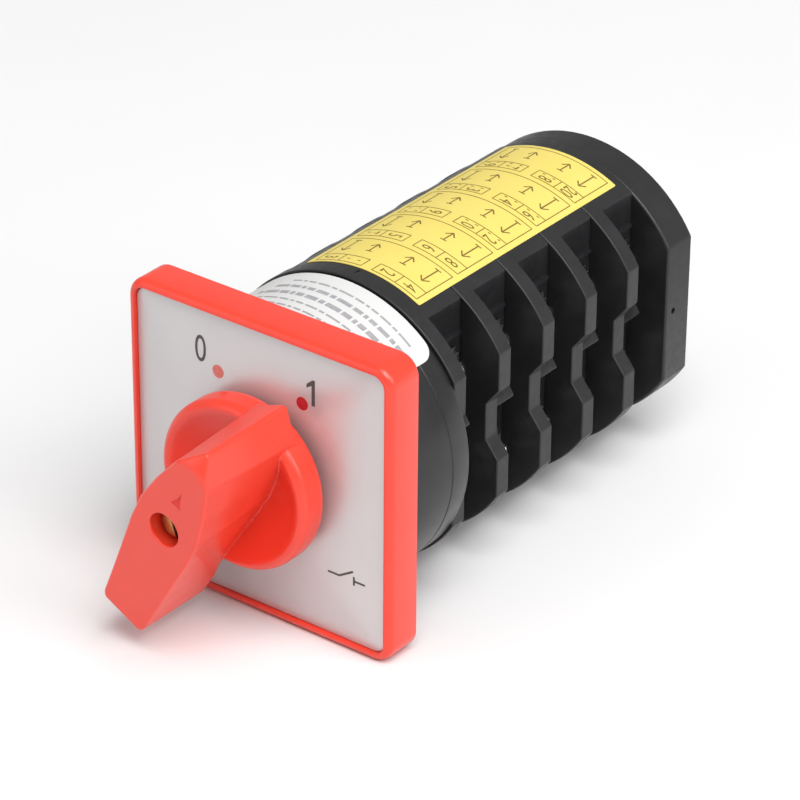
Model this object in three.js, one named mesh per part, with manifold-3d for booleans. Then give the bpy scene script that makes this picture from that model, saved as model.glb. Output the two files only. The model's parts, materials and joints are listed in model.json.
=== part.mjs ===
// Rotary cam switch for a panel: bezel with dial, lever handle, detent mechanism, five contact layers, end cap.
// Millimetres. +X is right and +Z up as seen from the front, +Y runs back along the shaft.
// The origin is on the shaft's axis, in the plane of the bezel's back face, which lies on the panel.
import * as THREE from "three";
import { mergeVertices } from "three/addons/utils/BufferGeometryUtils.js";
import Module from "manifold-3d";

const wasm = await Module();
wasm.setup();

// Clearances.
const FIT = 0.15; // between pieces that are fixed to each other
const RUN = 0.35; // between pieces that move past each other
const LAYER_GAP = 0.25; // parting line between the stacked pieces

// Bezel and dial.
const BEZEL_SIDE = 60;
const BEZEL_DEPTH = 8;
const BEZEL_CORNER = 4;
const BEZEL_EDGE = 1; // rounding of the front edge
const RIM_WIDTH = 1.75;
const PLATE_RECESS = 0.75; // how far the dial lies behind the rim
const PLATE_THICK = 1;
const PLATE_CORNER = 2.4;

// Drum with the detent mechanism.
const DRUM_R = 28.1;
const DRUM_BACK = 17.8;
const DRUM_WALL = 5.2; // front wall
const GROOVE_Y = 12.7;

// Contact layers.
const LAYERS = 5;
const PITCH = 13.6;
const DISC_R = 28.6;
const DISC_THICK = 3.7;
const FLAT_X = 24.4; // half width across the flats
const NOTCH_X = 21.6;
const NOTCH_OUT_Z = 7.3; // half height of the notch at the flat
const NOTCH_IN_Z = 3.7; // and at its floor
const WALL_X = 15.6; // half width of the middle part, between the bays
const CHAMBER_X = 14.2;
const CHAMBER_IN_Z = 8.6;
const CHAMBER_OUT_Z = 20.4;
const STUB_LENGTH = 5.3; // bay divider, behind the disc

// Shaft, cams and bridges.
const SHAFT_SIDE = 6;
const THROW_DEG = 60;
const REST_DEG = 28.5; // where the pointer stands at rest, clockwise from the top, a little short of its dot
const CAM_LOW_R = 6.5;
const CAM_LIFT = 2;
const CAM_WIDTH = 5.5;
const CAM_Y = 8.5; // middle of the cam, from its layer's front
const LEG_Z = 11.2; // lower face of a terminal's inner leg
const METAL = 1.2; // thickness of the contact metal
const TIP_HEIGHT = 0.75;
const BRIDGE_X = 12.6; // half length of a bridge
const BRIDGE_THICK = 1.6;
const PLUNGER_R = 2.2;
const RETAINER = 1.4; // spring stub on top of a bridge

// Terminals.
const TERMINAL_WIDTH = 6.6;
const TERMINAL_LOW_Z = 7.4;
const TERMINAL_HIGH_Z = 15.6;
const SCREW_Z = 11.5;
const SCREW_HEAD_R = 3;
const SCREW_HEAD = 2;

// Detent.
const STAR_MID_R = 9.6;
const STAR_WAVE = 0.9;
const STAR_NOTCHES = 6;
const STAR_FRONT = 7;
const STAR_THICK = 6;
const DETENT_TIP_R = 1.6;
const DETENT_X = 3; // half width of the detent plunger
const DETENT_SHOULDER_Z = 12.6;
const DETENT_OUT_Z = 16.6;
const DETENT_POCKET_Z = 21.3;
const COIL_R = 2;
const COIL_WIRE = 0.6;
const COIL_TURNS = 4;

// End cap and the bolts that hold the stack.
const CAP_R = 28.2;
const CAP_THICK = 8;
const CAP_EDGE = 0.8;
const BOLT_Z = 24;
const BOLT_R = 1.5;
const BOLT_HEAD_R = 2.8;
const BOLT_HEAD = 2.6;
const NUT_R = 3;
const NUT_THICK = 2.4;
const MOUNT_SCREW_X = 20;

// Handle: u runs along the pointer, w out from the panel.
const SKIRT_R = 16.6;
const SKIRT_LOW_W = 8.3;
const SKIRT_HIGH_W = 15.6;
const SKIRT_EDGE = 1.9; // rounding of the rim at the front
const SKIRT_UNDERCUT = 2.8; // rounding of the rim towards the dial
const UNDERSIDE_IN = 1.1; // how far the grip's underside reaches into the skirt
const DISH_R = 14.8;
const DISH_FLOOR_W = 11.6;
const GRIP_LOW_W = 10.2;
const GRIP_HIGH_W = 34;
const GRIP_EDGE = 1.1;
const GRIP_TILT = 0.095; // the front face rises towards the pointer
// Each station of the grip: u, half width at the front, half width at the skirt.
const GRIP = [
  [22.1, 0, 0],
  [16.4, 3.9, 5],
  [9, 5.9, 5.5],
  [2.5, 7, 5.7],
  [-3.5, 7, 5.4],
  [-15, 6, 4.8],
  [-25.6, 5.2, 5],
  [-26.9, 4.2, 4],
];
const POINTER_LOW_W = 12.2;
const LEVER_LOW_W = 14.6;
const HANDLE_HOLE_R = 3.5;
const HANDLE_WEB_W = [24.3, 27]; // the wall that the handle screw clamps
const HANDLE_SCREW_R = 1.5;
const COLLAR_R = 7.5;

// Values that follow from those above.
const CAP_FRONT = DRUM_BACK + LAYERS * PITCH;
const CAP_BACK = CAP_FRONT + CAP_THICK;
const PLATE_SIDE = BEZEL_SIDE - 2 * RIM_WIDTH;
const PLATE_FRONT = PLATE_RECESS - BEZEL_DEPTH;
const PLATE_BACK = PLATE_FRONT + PLATE_THICK;
const SHAFT_HOLE_R = SHAFT_SIDE / Math.SQRT2 + RUN;
const CAM_RISE_PER_DEG = CAM_LIFT / THROW_DEG;
const CONTACT_Z = LEG_Z + METAL + TIP_HEIGHT;
const BRIDGE_Z = CONTACT_Z + RUN;
const SHAFT_FRONT = -HANDLE_WEB_W[0] + RUN;
const FINE = 72; // segments round the large circles
const COARSE = 24; // segments round the small ones

// A closed three.js geometry as a manifold solid, facing out.
function solid(geometry) {
  const bare = geometry.clone();
  bare.deleteAttribute("normal");
  bare.deleteAttribute("uv");
  const merged = mergeVertices(bare, 1e-4);
  const corner = merged.index.array;
  const faces = [];
  for (let i = 0; i < corner.length; i += 3) {
    const [a, b, c] = [corner[i], corner[i + 1], corner[i + 2]];
    if (a !== b && b !== c && c !== a) faces.push([a, b, c]);
  }
  const vertProperties = merged.attributes.position.array;
  const build = (list) =>
    new wasm.Manifold(new wasm.Mesh({ numProp: 3, vertProperties, triVerts: new Uint32Array(list.flat()) }));
  const made = build(faces);
  return made.volume() > 0 ? made : build(faces.map(([a, b, c]) => [a, c, b]));
}

// Points in the XZ plane.
const at = (x, z) => new THREE.Vector2(x, z);
const rad = THREE.MathUtils.degToRad;

// An arc from one angle to another, in degrees clockwise from +Z as seen from the front.
function arc(r, from, to, steps, cx = 0, cz = 0) {
  return Array.from({ length: steps + 1 }, (_, i) => {
    const a = rad(from + ((to - from) * i) / steps);
    return at(cx + r * Math.sin(a), cz + r * Math.cos(a));
  });
}

function roundedSquare(side, corner, steps = 6) {
  const c = side / 2 - corner;
  return [
    ...arc(corner, 0, 90, steps, c, c),
    ...arc(corner, 90, 180, steps, c, -c),
    ...arc(corner, 180, 270, steps, -c, -c),
    ...arc(corner, 270, 360, steps, -c, c),
  ];
}

function square(side, turn = 0) {
  return arc(side / Math.SQRT2, turn + 45, turn - 225, 3);
}

// A prism along Y, with the outline in the XZ plane.
function prism(outline, y0, y1, bevel = {}) {
  const geometry = new THREE.ExtrudeGeometry(new THREE.Shape(outline), {
    depth: y1 - y0,
    bevelEnabled: false,
    ...bevel,
  });
  return solid(geometry.rotateX(Math.PI / 2).translate(0, y1, 0));
}

function box([x0, x1], [y0, y1], [z0, z1]) {
  const geometry = new THREE.BoxGeometry(x1 - x0, y1 - y0, z1 - z0);
  return solid(geometry.translate((x0 + x1) / 2, (y0 + y1) / 2, (z0 + z1) / 2));
}

function rod(r, y0, y1, [x, z] = [0, 0], segments = COARSE) {
  const geometry = new THREE.CylinderGeometry(r, r, y1 - y0, segments);
  return solid(geometry.translate(x, (y0 + y1) / 2, z));
}

// A solid turned about the Y axis from [radius, y] pairs.
function turned(profile, segments, [x, z] = [0, 0]) {
  const closed = [...profile, profile[0]].map(([r, y]) => new THREE.Vector2(r, y));
  return solid(new THREE.LatheGeometry(closed, segments).translate(x, 0, z));
}

const union = (solids) => solids.reduce((a, b) => a.add(b));
const cut = (from, solids) => solids.reduce((a, b) => a.subtract(b), from);

const group = new THREE.Group();

function addNode(name, made, colour, roughness, metalness = 0, turn = 0) {
  const { numProp, vertProperties, triVerts } = made.getMesh();
  const position = new Float32Array((vertProperties.length / numProp) * 3);
  for (let i = 0; i * numProp < vertProperties.length; i += 1) {
    position.set(vertProperties.subarray(i * numProp, i * numProp + 3), i * 3);
  }
  const geometry = new THREE.BufferGeometry();
  geometry.setAttribute("position", new THREE.BufferAttribute(position, 3));
  geometry.setIndex(new THREE.BufferAttribute(triVerts, 1));
  geometry.rotateY(rad(turn));
  geometry.computeVertexNormals();
  const material = new THREE.MeshStandardMaterial({ color: colour, roughness, metalness, flatShading: true });
  const mesh = new THREE.Mesh(geometry, material);
  mesh.name = name;
  group.add(mesh);
}

const RED = 0xf0523f;
const BLACK = 0x1c1c1e;
const STEEL = 0xb8babd;
const BRASS = 0xb99a52;

// A screw or bolt along Y with a slotted head. The head is at headY and the shank runs to tipY.
function slottedScrew([x, z], headY, headThick, headR, shankR, tipY) {
  const back = Math.sign(tipY - headY);
  const seatY = headY + back * headThick;
  const slotDepth = 0.4 * headThick;
  const span = (a, b) => [Math.min(a, b), Math.max(a, b)];
  const head = rod(headR, ...span(headY, seatY), [x, z]);
  const shank = rod(shankR, ...span(seatY - back * 0.5, tipY), [x, z], 16);
  const slotY = span(headY - back, headY + back * slotDepth);
  const slot = box([x - headR - 1, x + headR + 1], slotY, [z - 0.45, z + 0.45]);
  return head.add(shank).subtract(slot);
}

// Bezel, dial plate and the two screws under the dial.
function addFront() {
  const outline = roundedSquare(BEZEL_SIDE - 2 * BEZEL_EDGE, BEZEL_CORNER - BEZEL_EDGE);
  const bevel = {
    bevelEnabled: true,
    bevelSize: BEZEL_EDGE,
    bevelThickness: BEZEL_EDGE,
    bevelSegments: 4,
  };
  const front = prism(outline, BEZEL_EDGE - BEZEL_DEPTH, BEZEL_EDGE, bevel);
  const screws = [-MOUNT_SCREW_X, MOUNT_SCREW_X].map((x) => [x, 0]);
  const headR = 3.4;
  const headFront = PLATE_BACK + 2 * FIT;
  const headThick = 2.4;
  const shankR = 1.9;
  const recess = roundedSquare(PLATE_SIDE + 2 * FIT, PLATE_CORNER + FIT);
  const bezel = cut(front, [
    box([-BEZEL_SIDE, BEZEL_SIDE], [0, BEZEL_DEPTH], [-BEZEL_SIDE, BEZEL_SIDE]),
    prism(recess, -BEZEL_DEPTH - 1, PLATE_BACK + FIT),
    rod(COLLAR_R + RUN, -BEZEL_DEPTH, 1, [0, 0], 48),
    ...screws.map((c) => rod(headR + FIT, -BEZEL_DEPTH, headFront + headThick + FIT, c)),
    ...screws.map((c) => rod(shankR + FIT, -BEZEL_DEPTH, 1, c)),
  ]);
  addNode("bezel_frame", bezel, RED, 0.45);

  const plate = prism(roundedSquare(PLATE_SIDE, PLATE_CORNER), PLATE_FRONT, PLATE_BACK);
  addNode("dial_plate", plate.subtract(rod(COLLAR_R + RUN, -BEZEL_DEPTH, 0, [0, 0], 48)), 0xc9c8c6, 0.4, 0.6);

  screws.forEach((centre, i) => {
    const screw = slottedScrew(centre, headFront, headThick, headR, shankR, 9);
    addNode(["mounting_screw_left", "mounting_screw_right"][i], screw, STEEL, 0.35, 0.9);
  });
}

// Drum with the detent's chamber, open at the back until the first contact block closes it.
function addDrum() {
  const back = DRUM_BACK - LAYER_GAP / 2;
  const body = rod(DRUM_R, FIT, back, [0, 0], FINE);
  const chamber = [
    rod(STAR_MID_R + STAR_WAVE + 0.8, DRUM_WALL, DRUM_BACK + 1, [0, 0], 48),
    box([-DETENT_X - RUN, DETENT_X + RUN], [DRUM_WALL + 1, DRUM_BACK + 1], [-DETENT_POCKET_Z, DETENT_POCKET_Z]),
  ];
  const boltHoles = [-BOLT_Z, BOLT_Z].flatMap((z) => [
    rod(BOLT_R + FIT, -1, DRUM_BACK + 1, [0, z], 16),
    rod(NUT_R + FIT, -1, NUT_THICK + 3 * FIT, [0, z], 6),
  ]);
  const screwHoles = [-MOUNT_SCREW_X, MOUNT_SCREW_X].map((x) => rod(1.9 + FIT, -1, 10, [x, 0], 16));
  const groove = turned(
    [
      [DRUM_R - 0.3, GROOVE_Y - 0.2],
      [DRUM_R + 1, GROOVE_Y - 0.5],
      [DRUM_R + 1, GROOVE_Y + 0.5],
      [DRUM_R - 0.3, GROOVE_Y + 0.2],
    ],
    FINE,
  );
  const shaftHole = rod(SHAFT_HOLE_R, -1, DRUM_BACK, [0, 0], 32);
  const cuts = [...chamber, ...boltHoles, ...screwHoles, groove, shaftHole];
  addNode("mechanism_housing", cut(body, cuts), BLACK, 0.3);
}

function labelBand(r, halfAngle, y0, y1) {
  const inner = r + 0.08;
  const outer = inner + 0.25;
  const outline = [...arc(outer, -halfAngle, halfAngle, 16), ...arc(inner, halfAngle, -halfAngle, 16)];
  return prism(outline, y0, y1);
}

// Outline of a contact disc: a circle with a flat at each side, and a notch in each flat.
function discOutline() {
  const edge = THREE.MathUtils.radToDeg(Math.asin(FLAT_X / DISC_R));
  const right = [
    at(FLAT_X, NOTCH_OUT_Z),
    at(NOTCH_X, NOTCH_IN_Z),
    at(NOTCH_X, -NOTCH_IN_Z),
    at(FLAT_X, -NOTCH_OUT_Z),
  ];
  const left = right.map((p) => at(-p.x, -p.y));
  return [...arc(DISC_R, -edge, edge, 26), ...right, ...arc(DISC_R, 180 - edge, 180 + edge, 26), ...left];
}

// Outline of the middle part of a block, between the bays.
function coreOutline() {
  const edge = THREE.MathUtils.radToDeg(Math.asin(WALL_X / DISC_R));
  return [...arc(DISC_R, -edge, edge, 14), ...arc(DISC_R, 180 - edge, 180 + edge, 14)];
}

function contactBlock(front) {
  const y0 = front + LAYER_GAP / 2;
  const y1 = front + PITCH - LAYER_GAP / 2;
  const discBack = front + DISC_THICK;
  const tipZ = 1.7;
  const stub = [at(0, 5.2), at(18.6, 5.2), at(NOTCH_X - 1.25, NOTCH_IN_Z), at(NOTCH_X, tipZ)];
  const stubOutline = [...stub, ...stub.toReversed().map((p) => at(p.x, -p.y))];
  const mirrored = stubOutline.map((p) => at(-p.x, p.y));
  const body = union([
    prism(discOutline(), y0, discBack),
    prism(coreOutline(), y0, y1),
    prism(stubOutline, y0, discBack + STUB_LENGTH),
    prism(mirrored, y0, discBack + STUB_LENGTH),
  ]);
  const legY = front + CAM_Y - 2.5 - FIT;
  const cuts = [
    rod(SHAFT_HOLE_R, front - 1, y1, [0, 0], 32),
    rod(CAM_LOW_R + CAM_LIFT + 1.3, discBack, y1 + 1, [0, 0], 40),
  ];
  for (const up of [-1, 1]) {
    const span = (a, b) => (up > 0 ? [a, b] : [-b, -a]);
    cuts.push(rod(BOLT_R + FIT, front - 1, y1 + 1, [0, up * BOLT_Z], 16));
    cuts.push(box([-CHAMBER_X, CHAMBER_X], [discBack, y1 + 1], span(CHAMBER_IN_Z, CHAMBER_OUT_Z)));
    cuts.push(box([-WALL_X - 1, WALL_X + 1], [legY, y1 + 1], span(LEG_Z - FIT, LEG_Z + METAL + FIT)));
  }
  return cut(body, cuts);
}

// A fixed terminal with its clamp screw: side is -1 or 1 along X, up is -1 or 1 along Z.
function terminal(front, side, up) {
  const spanX = (a, b) => (side > 0 ? [a, b] : [-b, -a]);
  const spanZ = (a, b) => (up > 0 ? [a, b] : [-b, -a]);
  const y0 = front + DISC_THICK + RUN;
  const middle = y0 + TERMINAL_WIDTH / 2;
  const plateX = WALL_X + FIT;
  const washerX = plateX + METAL;
  const headX = washerX + 0.7;
  const legInX = BRIDGE_X - 3.4;
  const plate = box(spanX(plateX, washerX), [y0, y0 + TERMINAL_WIDTH], spanZ(TERMINAL_LOW_Z, TERMINAL_HIGH_Z));
  const leg = box(spanX(legInX, washerX), [front + CAM_Y - 2.5, front + CAM_Y + 2], spanZ(LEG_Z, LEG_Z + METAL));
  const tip = box(
    spanX(legInX, legInX + 3.2),
    [front + CAM_Y - 1.6, front + CAM_Y + 1.6],
    spanZ(LEG_Z + METAL / 2, CONTACT_Z),
  );
  const washer = box(
    spanX(washerX - 0.1, headX),
    [y0 + 0.1, y0 + TERMINAL_WIDTH - 0.1],
    spanZ(SCREW_Z - 3.2, SCREW_Z + 3.2),
  );
  const headLength = SCREW_HEAD + 0.1;
  const headGeometry = new THREE.CylinderGeometry(SCREW_HEAD_R, SCREW_HEAD_R, headLength, 20).rotateZ(Math.PI / 2);
  const head = solid(headGeometry.translate(side * (headX + SCREW_HEAD / 2 - 0.05), middle, up * SCREW_Z));
  const slot = box(
    spanX(headX + SCREW_HEAD - 0.9, headX + SCREW_HEAD + 1),
    [middle - 0.5, middle + 0.5],
    spanZ(SCREW_Z - 4, SCREW_Z + 4),
  );
  return cut(union([plate, leg, tip, washer, head]), [slot]);
}

// A moving contact bridge with its plunger, held just off the fixed contacts.
function bridge(front, up) {
  const spanZ = (a, b) => (up > 0 ? [a, b] : [-b, -a]);
  const y = [front + CAM_Y - CAM_WIDTH / 2, front + CAM_Y + CAM_WIDTH / 2];
  const footZ = CAM_LOW_R + RUN + PLUNGER_R;
  const topZ = BRIDGE_Z + BRIDGE_THICK;
  const bar = box([-BRIDGE_X, BRIDGE_X], y, spanZ(BRIDGE_Z, topZ));
  const stem = box([-PLUNGER_R, PLUNGER_R], y, spanZ(footZ, BRIDGE_Z + 0.5));
  const foot = rod(PLUNGER_R, ...y, [0, up * footZ], 20);
  const retainer = box([-1.4, 1.4], [front + CAM_Y - 1.4, front + CAM_Y + 1.4], spanZ(topZ - 0.5, topZ + RETAINER));
  return union([bar, stem, foot, retainer]);
}

// The cam lifts both bridges evenly with the angle over the whole throw.
function camRadius(degrees) {
  const a = ((degrees % 180) + 180) % 180;
  const over = THROW_DEG + 12;
  const top = CAM_LOW_R + CAM_RISE_PER_DEG * over;
  if (a <= over) return CAM_LOW_R + CAM_RISE_PER_DEG * a;
  const share = THREE.MathUtils.clamp((a - over - 15) / 60, 0, 1);
  return CAM_LOW_R + ((top - CAM_LOW_R) * (1 + Math.cos(Math.PI * share))) / 2;
}

function cam(front) {
  const outline = Array.from({ length: 60 }, (_, i) => {
    const a = i * 6;
    return at(camRadius(a) * Math.sin(rad(a)), camRadius(a) * Math.cos(rad(a)));
  });
  const y = [front + CAM_Y - CAM_WIDTH / 2, front + CAM_Y + CAM_WIDTH / 2];
  return prism(outline, ...y).subtract(prism(square(SHAFT_SIDE + 2 * FIT), y[0] - 1, y[1] + 1));
}

function addLayers() {
  for (let i = 0; i < LAYERS; i += 1) {
    const front = DRUM_BACK + i * PITCH;
    const layer = i + 1;
    addNode(`contact_block_${layer}`, contactBlock(front), BLACK, 0.5);
    addNode(`cam_${layer}`, cam(front), 0xe8e2d0, 0.5);
    addNode(`bridge_${layer}_upper`, bridge(front, 1), BRASS, 0.35, 0.8);
    addNode(`bridge_${layer}_lower`, bridge(front, -1), BRASS, 0.35, 0.8);
    // Numbered as on the chart: 1 and 2 are the upper pair, 3 and 4 the lower one, odd on the left.
    const corners = [
      [-1, 1],
      [1, 1],
      [-1, -1],
      [1, -1],
    ];
    corners.forEach(([side, up], k) => {
      const number = String(4 * i + k + 1).padStart(2, "0");
      addNode(`terminal_${number}`, terminal(front, side, up), STEEL, 0.35, 0.9);
    });
  }
}

// A detent plunger at the crests' radius, just clear of the star wheel.
function detentPlunger(up) {
  const spanZ = (a, b) => (up > 0 ? [a, b] : [-b, -a]);
  const y = [STAR_FRONT + 0.3, STAR_FRONT + STAR_THICK - 0.3];
  const tipZ = STAR_MID_R + STAR_WAVE + RUN + DETENT_TIP_R;
  return union([
    rod(DETENT_TIP_R, ...y, [0, up * tipZ], 20),
    box([-DETENT_TIP_R, DETENT_TIP_R], y, spanZ(tipZ, DETENT_SHOULDER_Z + 0.2)),
    box([-DETENT_X, DETENT_X], y, spanZ(DETENT_SHOULDER_Z, DETENT_OUT_Z)),
  ]);
}

// A coil spring along Z, with its ends closed flat.
function coilSpring(z0, z1, y) {
  class Helix extends THREE.Curve {
    getPoint(t, target = new THREE.Vector3()) {
      const a = 2 * Math.PI * COIL_TURNS * t;
      return target.set(COIL_R * Math.cos(a), y + COIL_R * Math.sin(a), z0 + (z1 - z0) * t);
    }
  }
  const sides = 6;
  const steps = COIL_TURNS * 14;
  const tube = new THREE.TubeGeometry(new Helix(), steps, COIL_WIRE / 2, sides);
  const index = [...tube.index.array];
  const last = steps * (sides + 1);
  for (let i = 1; i < sides - 1; i += 1) {
    index.push(0, i, i + 1, last, last + i + 1, last + i);
  }
  tube.setIndex(index);
  return solid(tube);
}

function addDetent() {
  const outline = Array.from({ length: 72 }, (_, i) => {
    const a = rad(i * 5);
    const r = STAR_MID_R - STAR_WAVE * Math.cos(STAR_NOTCHES * a);
    return at(r * Math.sin(a), r * Math.cos(a));
  });
  const y = [STAR_FRONT, STAR_FRONT + STAR_THICK];
  const wheel = prism(outline, ...y).subtract(prism(square(SHAFT_SIDE + 2 * FIT), y[0] - 1, y[1] + 1));
  addNode("star_wheel", wheel, 0xe8e2d0, 0.5);
  const springEnds = [DETENT_OUT_Z + FIT + COIL_WIRE / 2, DETENT_POCKET_Z - FIT - COIL_WIRE / 2];
  const middle = STAR_FRONT + STAR_THICK / 2;
  for (const [place, up] of [
    ["upper", 1],
    ["lower", -1],
  ]) {
    addNode(`detent_plunger_${place}`, detentPlunger(up), STEEL, 0.3, 0.9);
    const ends = springEnds.map((z) => up * z);
    addNode(`detent_spring_${place}`, coilSpring(...ends, middle), STEEL, 0.3, 0.9);
  }
}

function addEndCapAndBolts() {
  const outline = (r, inset) => {
    const flat = FLAT_X - inset;
    const edge = THREE.MathUtils.radToDeg(Math.asin(flat / r));
    return [...arc(r, -edge, edge, 26), ...arc(r, 180 - edge, 180 + edge, 26)];
  };
  const bevel = { bevelEnabled: true, bevelSize: CAP_EDGE, bevelThickness: CAP_EDGE, bevelSegments: 2 };
  const front = CAP_FRONT + LAYER_GAP / 2;
  const headFront = CAP_BACK - BOLT_HEAD - 0.5;
  const cuts = [
    rod(SHAFT_HOLE_R, CAP_FRONT - 1, CAP_FRONT + 4, [0, 0], 32),
    rod(15, CAP_BACK - 1.2, CAP_BACK + 1, [0, 0], 48),
  ];
  for (const up of [-1, 1]) {
    cuts.push(rod(BOLT_R + FIT, CAP_FRONT - 1, CAP_BACK + 1, [0, up * BOLT_Z], 16));
    cuts.push(rod(BOLT_HEAD_R + FIT, headFront - FIT, CAP_BACK + 1, [0, up * BOLT_Z]));
    const pin = new THREE.CylinderGeometry(0.6, 0.6, 6, 10).rotateZ(Math.PI / 2);
    cuts.push(solid(pin.translate(up * FLAT_X, CAP_FRONT + 2.4, 0.2)));
  }
  const cap = union([
    prism(outline(CAP_R, 0), front, CAP_BACK - 2 * CAP_EDGE),
    prism(outline(CAP_R - CAP_EDGE, CAP_EDGE), front + CAP_EDGE, CAP_BACK - CAP_EDGE, bevel),
  ]);
  addNode("end_cap", cut(cap, cuts), BLACK, 0.55);

  for (const [place, up] of [
    ["upper", 1],
    ["lower", -1],
  ]) {
    const centre = [0, up * BOLT_Z];
    const nutBack = FIT + NUT_THICK;
    addNode(
      `tie_bolt_${place}`,
      slottedScrew(centre, headFront + BOLT_HEAD, BOLT_HEAD, BOLT_HEAD_R, BOLT_R, 1),
      STEEL,
      0.35,
      0.9,
    );
    const nut = rod(NUT_R, 2 * FIT, nutBack, centre, 6).subtract(rod(BOLT_R + FIT, -1, nutBack + 1, centre, 16));
    addNode(`tie_nut_${place}`, nut, STEEL, 0.35, 0.9);
  }
}

// How much narrower the grip is at the skirt than at the front, at u.
function gripTaper(u) {
  const stations = GRIP.slice(1).map(([place, front, low]) => [place, low / front]);
  if (u >= stations[0][0]) return stations[0][1];
  for (let i = 1; i < stations.length; i += 1) {
    const [a, b] = [stations[i - 1], stations[i]];
    if (u >= b[0]) return THREE.MathUtils.mapLinear(u, b[0], a[0], b[1], a[1]);
  }
  return stations.at(-1)[1];
}

// A convex outline moved inwards by a distance.
function inset(outline, distance) {
  return outline.map((p, i) => {
    const before = outline.at(i - 1);
    const after = outline[(i + 1) % outline.length];
    const a = p.clone().sub(before).normalize();
    const b = after.clone().sub(p).normalize();
    const inwards = at(a.y + b.y, -a.x - b.x).multiplyScalar(distance / (1 + a.dot(b)));
    return p.clone().add(inwards);
  });
}

// The grip: its plan is lofted from the skirt to the front, and its front face is tilted.
// Here X is across the pointer and Z along it, so the finished handle is turned to its rest place.
function grip() {
  const right = GRIP.map(([u, half]) => at(half, u));
  const left = right.slice(1).toReversed().map((p) => at(-p.x, p.y));
  const geometry = new THREE.ExtrudeGeometry(new THREE.Shape(inset([...right, ...left], GRIP_EDGE)), {
    depth: GRIP_HIGH_W - GRIP_LOW_W - 2 * GRIP_EDGE,
    steps: 6,
    bevelEnabled: true,
    bevelSize: GRIP_EDGE,
    bevelThickness: GRIP_EDGE,
    bevelSegments: 3,
  });
  geometry.translate(0, 0, GRIP_LOW_W + GRIP_EDGE);
  const position = geometry.attributes.position;
  for (let i = 0; i < position.count; i += 1) {
    const [x, u, w] = [position.getX(i), position.getY(i), position.getZ(i)];
    const share = THREE.MathUtils.clamp((w - GRIP_LOW_W) / (GRIP_HIGH_W - GRIP_LOW_W), 0, 1);
    position.setX(i, x * THREE.MathUtils.lerp(gripTaper(u), 1, share ** 0.8));
    position.setZ(i, w + share * GRIP_TILT * u);
  }
  const body = solid(geometry.rotateX(Math.PI / 2));
  const facet = new THREE.BoxGeometry(30, 10, 12).translate(0, -5, 6);
  facet.rotateX(rad(36)).translate(0, -(GRIP_HIGH_W + GRIP_TILT * 18.6), 18.6);
  return cut(body, [
    solid(facet),
    box([-30, 30], [-LEVER_LOW_W, 0], [-40, UNDERSIDE_IN - SKIRT_R]),
    box([-30, 30], [-POINTER_LOW_W, 0], [SKIRT_R - UNDERSIDE_IN, 40]),
  ]);
}

// The round skirt, with a dish in front that deepens towards the grip.
function skirt() {
  const quarter = [0, 0.25, 0.5, 0.75, 1].map((t) => (t * Math.PI) / 2);
  const depth = SKIRT_HIGH_W - DISH_FLOOR_W;
  const dish = [0.2, 0.4, 0.6, 0.8, 1].map((t) => [t * DISH_R, DISH_FLOOR_W + depth * t ** 1.9]);
  const front = quarter.map((a) => [
    SKIRT_R - SKIRT_EDGE * (1 - Math.sin(a)),
    SKIRT_HIGH_W - SKIRT_EDGE * (1 - Math.cos(a)),
  ]);
  const back = quarter.map((a) => [
    SKIRT_R - SKIRT_UNDERCUT * (1 - Math.cos(a)),
    SKIRT_LOW_W + SKIRT_UNDERCUT * (1 - Math.sin(a)),
  ]);
  const profile = [[0, SKIRT_LOW_W], [0, DISH_FLOOR_W], ...dish.slice(0, -1), ...front, ...back];
  return turned(
    profile.map(([radius, w]) => [radius, -w]),
    FINE,
  );
}

function addHandle() {
  const collar = rod(COLLAR_R, -SKIRT_LOW_W - 1, -0.6, [0, 0], 48);
  const mark = [at(-1.2, 7.6), at(1.2, 7.6), at(0, 9.6)];
  const faceY = -(GRIP_HIGH_W + GRIP_TILT * 8.6);
  const handle = cut(union([skirt(), grip(), collar]), [
    prism(square(SHAFT_SIDE + 2 * FIT, -REST_DEG), -HANDLE_WEB_W[0], 1),
    rod(HANDLE_SCREW_R + FIT, -HANDLE_WEB_W[1] - 1, 0, [0, 0], 20),
    rod(HANDLE_HOLE_R, -40, -HANDLE_WEB_W[1], [0, 0], 32),
    prism(mark, faceY - 2, faceY + 0.5),
  ]);
  addNode("handle", handle, RED, 0.4, 0, REST_DEG);

  const headFront = -HANDLE_WEB_W[1] - FIT - 2.5;
  const screw = slottedScrew([0, 0], headFront, 2.5, 3.1, HANDLE_SCREW_R, -16);
  addNode("handle_screw", screw, BRASS, 0.35, 0.9);

  const shaft = prism(square(SHAFT_SIDE), SHAFT_FRONT, CAP_FRONT + 3.4);
  addNode("shaft", shaft.subtract(rod(HANDLE_SCREW_R + FIT, -40, -14, [0, 0], 20)), STEEL, 0.4, 0.8);
}

addFront();
addHandle();
addDrum();
addNode("rating_label", labelBand(DRUM_R, 45.4, 2, 16.8), 0xf4f4f2, 0.5);
addDetent();
addLayers();
addNode("terminal_label", labelBand(DISC_R, 27.2, 21.9, 83.5), 0xf7e78a, 0.5);
addEndCapAndBolts();

export default group;
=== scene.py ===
import json
import math

import bmesh
import bpy
import numpy as np
from mathutils import Matrix, Vector


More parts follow.
